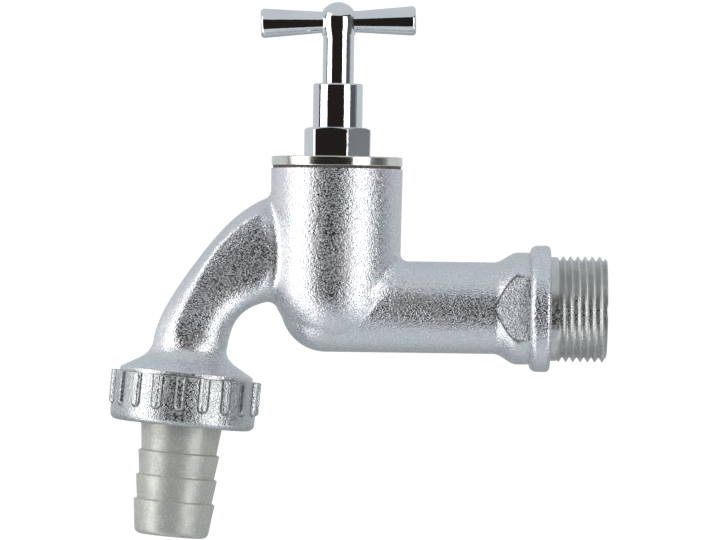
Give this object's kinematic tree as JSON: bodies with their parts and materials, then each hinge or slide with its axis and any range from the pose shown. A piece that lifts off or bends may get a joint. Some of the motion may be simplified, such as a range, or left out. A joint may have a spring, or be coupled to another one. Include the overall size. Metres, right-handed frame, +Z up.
{
  "type": "water tap",
  "caption": "Wall-mounted water tap with a bar handle, rising spindle valve, curved spout, ribbed union nut and barbed hose tail.",
  "frame": {"origin": "on the inlet axis, at the flange face where the inlet thread starts", "axes": "+X out of the inlet towards the wall, +Z up along the spindle, -Y towards the viewer of the picture"},
  "size_m": [0.1241, 0.0377, 0.1346],
  "materials": {
    "blasted_chrome": "matt, shot-blasted",
    "polished_chrome": "polished",
    "steel": "satin",
    "brass": "machined",
    "rubber": "matt",
    "fibre": "matt",
    "slip_plastic": "smooth",
    "tail_grey": "satin, flecked"
  },
  "bodies": {
    "tap_body": {"tap_body": "blasted_chrome", "bonnet": "polished_chrome", "bonnet_gasket": "fibre"},
    "valve": {"jumper": "brass", "seat_washer": "rubber", "backing_washer": "brass", "washer_nut": "brass"},
    "stem": {"spindle": "polished_chrome", "lower_stem_ring": "rubber", "upper_stem_ring": "rubber", "slip_washer": "slip_plastic", "snap_ring": "steel", "handle": "polished_chrome", "handle_screw": "steel"},
    "tail_seal": {"tail_gasket": "rubber"},
    "nut": {"union_nut": "blasted_chrome"},
    "tail": {"hose_tail": "tail_grey"}
  },
  "joints": [
    {"name": "stem_lift", "type": "slide", "parent": "tap_body", "child": "valve", "axis": [0, 0, 1], "range_m": [0, 0.005]},
    {"name": "handle_turn", "type": "hinge", "parent": "valve", "child": "stem", "pos_m": [-0.0537, 0, 0.0714], "axis": [0, 0, 1], "range_deg": [0, 720]},
    {"name": "union_travel", "type": "slide", "parent": "tap_body", "child": "tail_seal", "axis": [-0.0837, 0, -0.9965], "range_m": [0, 0.00693]},
    {"name": "nut_turn", "type": "hinge", "parent": "tail_seal", "child": "nut", "pos_m": [-0.09114, 0, -0.02356], "axis": [-0.0837, 0, -0.9965], "range_deg": [0, 1080]},
    {"name": "tail_swivel", "type": "hinge", "parent": "tail_seal", "child": "tail", "pos_m": [-0.09197, 0, -0.03353], "axis": [-0.0837, 0, -0.9965], "continuous": true}
  ],
  "couplings": [
    {"joint": "handle_turn", "follows": "stem_lift", "rad_per_m": 2513.3},
    {"joint": "nut_turn", "follows": "union_travel", "rad_per_m": 2721.2}
  ]
}
